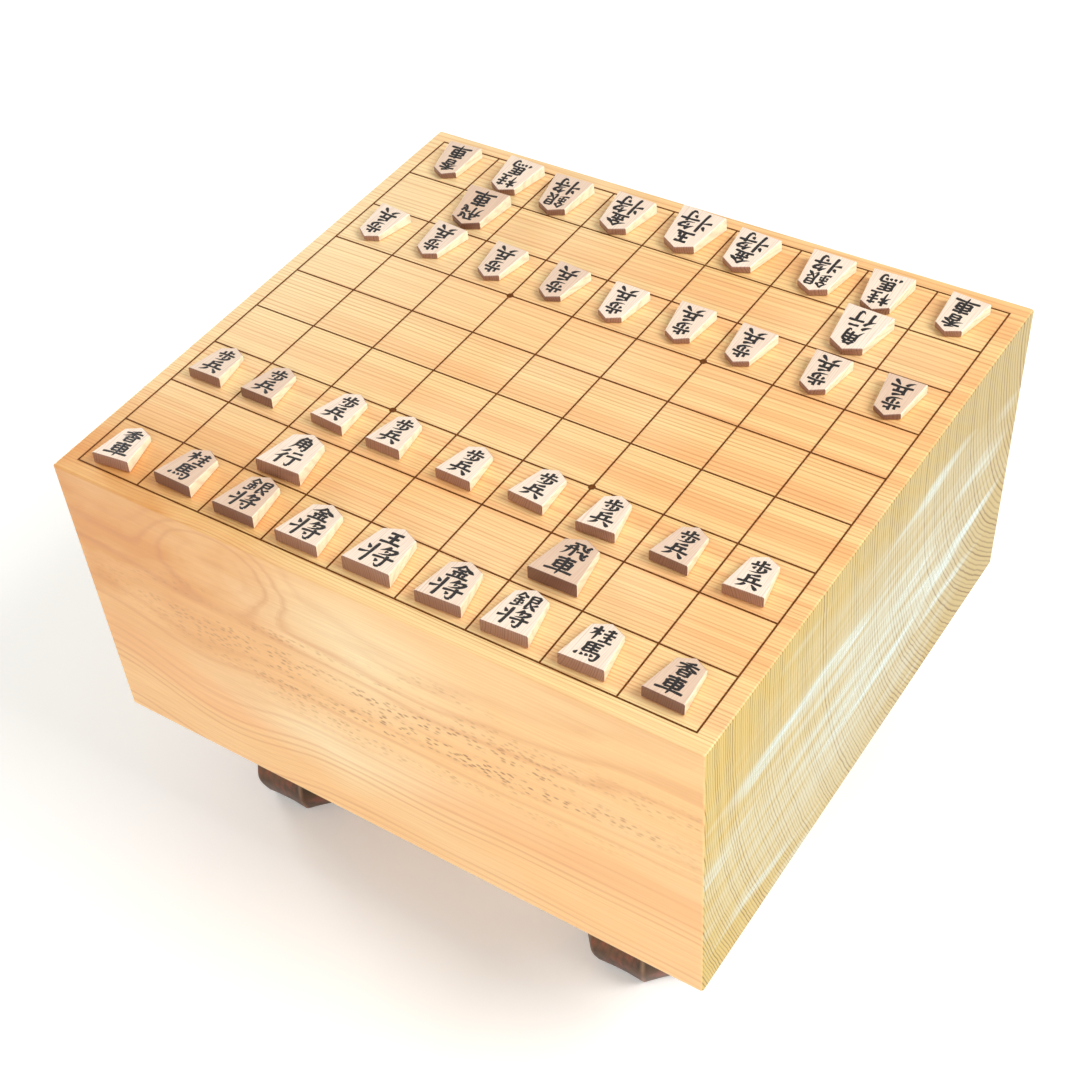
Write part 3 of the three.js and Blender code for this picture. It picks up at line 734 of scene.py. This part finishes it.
def ink_tree(settings, material):
    """Geometry Nodes that turn the brush's path into low rounded strokes of lacquer."""
    tree = new_tree("ink_strokes", [
        ("Sides", "NodeSocketInt", settings.sides),
        ("Height Share", "NodeSocketFloat", settings.height_share),
    ])
    node = partial(add_node, tree)
    given = node("NodeGroupInput").outputs
    section = node(CIRCLE, {"Resolution": given["Sides"], "Radius": 1.0})
    flatness = node(COMBINE, (1.0, given["Height Share"], 1.0))
    flat = node(TRANSFORM, {"Geometry": section, "Scale": flatness})
    path = node("GeometryNodeSetCurveNormal", {"Curve": given["Geometry"]}, mode="Z_UP")
    brush = node("GeometryNodeInputRadius")
    strokes = node(SWEEP, {"Curve": path, "Profile Curve": flat, "Scale": brush, "Fill Caps": True})
    whole = node("GeometryNodeRealizeInstances", {"Geometry": strokes})
    inked = node("GeometryNodeSetMaterial", {"Geometry": whole, "Material": material})
    node("NodeGroupOutput", {"Geometry": inked})
    return tree


def foot_tree(settings, material):
    """Geometry Nodes that sweep a foot's outline up its axis, scoop its faces and add its tenon."""
    tree = new_tree("carved_foot", [
        ("Row Height", "NodeSocketFloat", settings.row_height),
        ("Faces", "NodeSocketInt", FOOT_FACES),
        ("Steps per Face", "NodeSocketInt", settings.steps_per_face),
        ("Face Hollow", "NodeSocketFloat", settings.face_hollow_share),
        ("Tenon Radius", "NodeSocketFloat", 15 * MM),
        ("Tenon Foot", "NodeSocketVector", (0.0, 0.0, 80 * MM)),
        ("Tenon Top", "NodeSocketVector", (0.0, 0.0, 111 * MM)),
        ("Axis", "NodeSocketVector", (0.0, 0.0, 0.0)),
    ])
    node = partial(add_node, tree)
    given = node("NodeGroupInput").outputs

    # A round body first, its rows no further apart than the row height
    outline = given["Geometry"]
    smooth = node("GeometryNodeCurveSplineType", {"Curve": outline}, spline_type="CATMULL_ROM")
    rows = node(
        "GeometryNodeResampleCurve", {"Curve": smooth, "Length": given["Row Height"]}, mode="LENGTH",
    )
    steps = node(MATH, (given["Faces"], given["Steps per Face"]), operation="MULTIPLY")
    circle = node(CIRCLE, {"Resolution": steps, "Radius": 1.0})
    reach = node("GeometryNodeInputRadius")
    body = node(SWEEP, {"Curve": rows, "Profile Curve": circle, "Scale": reach, "Fill Caps": True})

    # Each face is flat between its ridges, less a scoop that is deepest along its middle
    place = node("GeometryNodeInputPosition")
    parts = node(SPLIT, (place,)).outputs
    angle = node(MATH, (parts["Y"], parts["X"]), operation="ARCTAN2")
    half_face = node(MATH, (math.pi, given["Faces"]), operation="DIVIDE")
    minus_half = node(MATH, (half_face, -1.0), operation="MULTIPLY")
    from_middle = node(MATH, (angle, half_face, minus_half), operation="WRAP")
    ridge_cosine = node(MATH, (half_face,), operation="COSINE")
    cosine = node(MATH, (from_middle,), operation="COSINE")
    flat_reach = node(MATH, (ridge_cosine, cosine), operation="DIVIDE")
    share = node(MATH, (from_middle, half_face), operation="DIVIDE")
    ridge_share = node(MATH, (share, share), operation="MULTIPLY")
    scoop = node(MATH, (ridge_share, given["Face Hollow"], flat_reach), operation="MULTIPLY_ADD")
    squeeze = node(MATH, (scoop, given["Face Hollow"]), operation="SUBTRACT")
    squeezes = node(COMBINE, (squeeze, squeeze, 1.0))
    squeezed = node(VECTOR_MATH, (place, squeezes), operation="MULTIPLY")
    ridge = node(RANGE, (ridge_share, 0.94, 1.0))
    marked = node(STORE, {"Geometry": body, "Name": "ridge", "Value": ridge}, data_type="FLOAT")
    carved = node("GeometryNodeSetPosition", {"Geometry": marked, "Position": squeezed})

    # The tenon, sunk a little into the body and then made one with it
    line = node("GeometryNodeCurvePrimitiveLine", (given["Tenon Foot"], given["Tenon Top"]))
    tenon_circle = node(CIRCLE, {"Resolution": steps, "Radius": given["Tenon Radius"]})
    tenon = node(SWEEP, {"Curve": line, "Profile Curve": tenon_circle, "Fill Caps": True})
    one = node("GeometryNodeMeshBoolean", (carved,), operation="UNION")
    feed(tree, one, (tenon,))

    # The grain runs up the foot, and the log's heart lies beside it
    heart = node(VECTOR_MATH, (place, (-45 * MM, 20 * MM, 0.0)), operation="SUBTRACT")
    log = node(SPLIT, (heart,)).outputs
    along = node(COMBINE, (log["Z"], log["X"], log["Y"]))
    grained = node(
        STORE, {"Geometry": one, "Name": "log_place", "Value": along}, data_type="FLOAT_VECTOR",
    )
    moved = node(TRANSFORM, {"Geometry": grained, "Translation": given["Axis"]})
    whole = node("GeometryNodeRealizeInstances", {"Geometry": moved})
    stained = node("GeometryNodeSetMaterial", {"Geometry": whole, "Material": material})
    node("NodeGroupOutput", {"Geometry": stained})
    return tree


def foot_outline(name, axis):
    """The heights of a packed foot's rows, lowest first, each with how far its ridges reach."""
    reach = {}
    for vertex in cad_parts[name].data.vertices:
        height = round(vertex.co.z, 5)
        reach[height] = max(reach.get(height, 0.0), (vertex.co.xy - axis.xy).length)
    return sorted(reach.items())


def top_face(name):
    """Where a packed playing piece's marked face lies: a matrix whose origin is the middle of the
    face's foot edge and whose Y runs to its tip, and the face's length and foot width."""
    mesh = clean_copy(name)
    face = max((p for p in mesh.polygons if p.normal.z > 0.9), key=lambda p: p.area)
    corners = [mesh.vertices[i].co.copy() for i in face.vertices]
    up = face.normal.copy()
    bpy.data.meshes.remove(mesh)
    # The face slopes down to the tip, so its normal leans that way
    right = Vector((up.x, up.y, 0)).normalized().cross(Vector((0, 0, 1)))
    along = up.cross(right)
    corners.sort(key=along.dot)
    origin = (corners[0] + corners[1]) / 2
    place = Matrix((right, along, up)).transposed().to_4x4()
    place.translation = origin
    return place, along.dot(corners[-1] - origin), (corners[1] - corners[0]).length


# Steps

def lamp(name, place, size, power, target):
    """A square area light at place, turned to a target."""
    light = bpy.data.lights.new(name, "AREA")
    light.size = size
    light.energy = power
    made = new_object(name, light)
    made.location = place
    made.rotation_euler = (target - Vector(place)).to_track_quat("-Z", "Y").to_euler()


class SHOGI_OT_stage(Operator):
    """Sets up the pale floor, the soft lights and the camera"""
    bl_idname = "shogi.stage"
    bl_label = "Set the stage"

    def execute(self, context):
        settings = context.scene.shogi_stage
        scene = context.scene
        scene.view_settings.view_transform = "Standard"

        # Matt floor, brighter to the camera and in reflections, and white where the room begins
        paint, tree, shader = new_material("matt_floor")
        node = partial(add_node, tree)
        rays = node("ShaderNodeLightPath").outputs
        seen = node(MATH, (rays["Is Camera Ray"], rays["Is Glossy Ray"]), operation="MAXIMUM")
        seen = node(MATH, (seen, rays["Is Transmission Ray"]), operation="MAXIMUM")
        place = node("ShaderNodeTexCoord").outputs["Object"]
        away = node(VECTOR_MATH, (place,), operation="LENGTH")
        level = node(RANGE, (away, 0.6, 3.0, 0.2, 0.6))
        feed(tree, shader, {
            "Base Color": settings.floor_colour,
            "Roughness": 0.9,
            "Emission Color": settings.floor_colour,
            "Emission Strength": node(MATH, (seen, level), operation="MULTIPLY"),
        })
        sheet = bpy.data.meshes.new("floor")
        reach = 8.0
        corners = [(-reach, -reach), (reach, -reach), (reach, reach), (-reach, reach)]
        # Just under the feet, so that their soles and the floor don't share a plane
        sheet.from_pydata([(x, y, -0.2 * MM) for x, y in corners], [], [(0, 1, 2, 3)])
        sheet.materials.append(paint)
        new_object("floor", sheet)

        # An even room, which the camera and reflections see as white
        world = bpy.data.worlds.new("room")
        world.use_nodes = True
        scene.world = world
        tree = world.node_tree
        tree.nodes.clear()
        node = partial(add_node, tree)
        rays = node("ShaderNodeLightPath").outputs
        seen = node(MATH, (rays["Is Camera Ray"], rays["Is Transmission Ray"]), operation="MAXIMUM")
        strength = node(RANGE, (seen, 0.0, 1.0, settings.room_light, 1.0))
        room = node("ShaderNodeBackground", {"Color": (1.0, 1.0, 1.0, 1.0), "Strength": strength})
        node("ShaderNodeOutputWorld", {"Surface": room})

        low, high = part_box("board")
        target = (low + high) / 2
        lamp("window", settings.window_place, settings.window_size, settings.window_power, target)
        lamp("front_light", settings.front_place, settings.front_size, settings.front_power, target)
        lamp("fill_light", settings.fill_place, settings.fill_size, settings.fill_power, target)

        camera = bpy.data.cameras.new("camera")
        camera.lens = settings.lens
        camera.sensor_width = 36.0
        camera.shift_x, camera.shift_y = settings.shift
        camera.clip_start = 0.05
        made = new_object("camera", camera)
        made.location = settings.eye
        made.rotation_euler = settings.turn
        scene.camera = made
        return {"FINISHED"}


class SHOGI_OT_board(Operator):
    """Gives the board its waxed wood and rounds the light over its edges"""
    bl_idname = "shogi.board"
    bl_label = "Finish the board"

    def execute(self, context):
        mesh = clean_copy("board", flat_faces=False)
        mesh.shade_smooth()
        mesh.set_sharp_from_angle(angle=BOARD_EDGE_ANGLE)
        rough = new_object("board_rough", mesh)
        weights = rough.modifiers.new("normals", "WEIGHTED_NORMAL")
        weights.keep_sharp = True
        board = baked(rough, "board_wood")
        dress(board, "board", "board_wood", board_wood(context.scene.shogi_board), "board")
        return {"FINISHED"}


class SHOGI_OT_grid(Operator):
    """Gives the grid on the board its lacquer"""
    bl_idname = "shogi.grid"
    bl_label = "Lacquer the grid"

    def execute(self, context):
        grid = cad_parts["grid_lines"]
        colour = context.scene.shogi_marks.line
        grid.material_slots[0].material = lacquer("brown_lacquer", colour, roughness=0.5, shine=0.15)
        return {"FINISHED"}


class SHOGI_OT_feet(Operator):
    """Carves the four eight-sided feet"""
    bl_idname = "shogi.feet"
    bl_label = "Carve the feet"

    def execute(self, context):
        settings = context.scene.shogi_feet
        wood = foot_wood(settings)
        tree = foot_tree(settings, wood)
        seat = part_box("board")[0].z
        for name in FEET:
            low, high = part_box(name)
            axis = Vector(((low.x + high.x) / 2, (low.y + high.y) / 2, 0))
            rows = foot_outline(name, axis)
            body = [(Vector((0, 0, height)), reach) for height, reach in rows if height < seat]
            tenon = [reach for height, reach in rows if height > seat]
            sizes = {
                "Tenon Radius": max(tenon),
                "Tenon Foot": (0.0, 0.0, body[-2][0].z),
                "Tenon Top": (0.0, 0.0, high.z),
                "Axis": tuple(axis),
            }
            rough = grow(drawn(name + "_path", [body]), tree, sizes, name + "_rough")
            foot = rounded(rough, name + "_wood", settings.ridge_round, FOOT_EDGE_ANGLE)
            dress(foot, "board", "stained_wood", wood, name)
        return {"FINISHED"}


class SHOGI_OT_pieces(Operator):
    """Rounds and polishes the forty playing pieces"""
    bl_idname = "shogi.pieces"
    bl_label = "Polish the playing pieces"

    def execute(self, context):
        settings = context.scene.shogi_pieces
        wood = piece_wood(settings)
        chance = random.Random(settings.seed)
        for name in PLAYING_PIECES:
            rough = new_object(name + "_rough", clean_copy(name))
            piece = rounded(rough, name + "_wood", settings.edge_round, PIECE_EDGE_ANGLE)
            to_piece = top_face(name)[0].inverted()
            # The log's heart is a few centimetres to one side, so the rings stand upright
            angle = chance.uniform(-0.35, 0.35)
            heart = Vector((0, math.cos(angle), math.sin(angle))) * chance.uniform(25, 45) * MM
            heart.x = chance.uniform(0, 1)
            places = [to_piece @ vertex.co for vertex in piece.data.vertices]
            in_log = [Vector((place.y, place.x, place.z)) + heart for place in places]
            store(piece.data, "log_place", "FLOAT_VECTOR", in_log)
            tone = 1.0 if "rook" in name else chance.uniform(0.0, 1.0) ** 2
            store(piece.data, "tone", "FLOAT", [tone] * len(places))
            dress(piece, name, "piece_wood", wood, name)
        return {"FINISHED"}


class SHOGI_OT_marks(Operator):
    """Marks each playing piece with the two characters of its rank"""
    bl_idname = "shogi.marks"
    bl_label = "Mark the playing pieces"

    def execute(self, context):
        settings = context.scene.shogi_marks
        ink = lacquer("black_lacquer", settings.ink, roughness=0.3, shine=0.5)
        tree = ink_tree(settings, ink)
        for name in PLAYING_PIECES:
            place, length, width = top_face(name)
            rank = name.rsplit("_", 1)[0]
            shares = MARK_SHARES.get(rank) or MARK_SHARES[rank.split("_")[1]]
            lines = []
            for character, middle, height, breadth, brush in shares:
                size = Vector((breadth * width, -height * length))
                corner = Vector((0, middle * length)) - size / 2
                for words in CHARACTERS[character].split(" | "):
                    line = []
                    for point, share in stroke_path(words, settings.steps):
                        on_face = corner + Vector((point.x * size.x, point.y * size.y)) / 100
                        radius = settings.brush_width / 2 * brush * share
                        line.append((on_face.to_3d(), radius))
                    lines.append(line)
            marks = grow(drawn(name + "_path", lines), tree, {}, name + "_marks")
            marks.data.transform(place)
            dress(marks, name, "lacquer", ink)
        return {"FINISHED"}


SETTINGS = {
    "shogi_stage": StageSettings,
    "shogi_board": BoardSettings,
    "shogi_feet": FootSettings,
    "shogi_pieces": PieceSettings,
    "shogi_marks": MarkSettings,
}
STEPS = (SHOGI_OT_stage, SHOGI_OT_board, SHOGI_OT_grid, SHOGI_OT_feet, SHOGI_OT_pieces, SHOGI_OT_marks)


class SHOGI_PT_steps(Panel):
    """Lists the steps that dress the board"""
    bl_idname = "SHOGI_PT_steps"
    bl_label = "Shogi board"
    bl_space_type = "VIEW_3D"
    bl_region_type = "UI"
    bl_category = "Shogi"

    def draw(self, context):
        for step in STEPS:
            self.layout.operator(step.bl_idname)


CLASSES = (*SETTINGS.values(), *STEPS, SHOGI_PT_steps)


def register():
    for kind in CLASSES:
        bpy.utils.register_class(kind)
    for name, kind in SETTINGS.items():
        setattr(bpy.types.Scene, name, PointerProperty(type=kind))


def unregister():
    for name in SETTINGS:
        delattr(bpy.types.Scene, name)
    for kind in reversed(CLASSES):
        bpy.utils.unregister_class(kind)


def main():
    register()
    bpy.ops.shogi.stage()
    bpy.ops.shogi.board()
    bpy.ops.shogi.grid()
    bpy.ops.shogi.feet()
    bpy.ops.shogi.pieces()
    bpy.ops.shogi.marks()


if __name__ == "__main__":
    main()
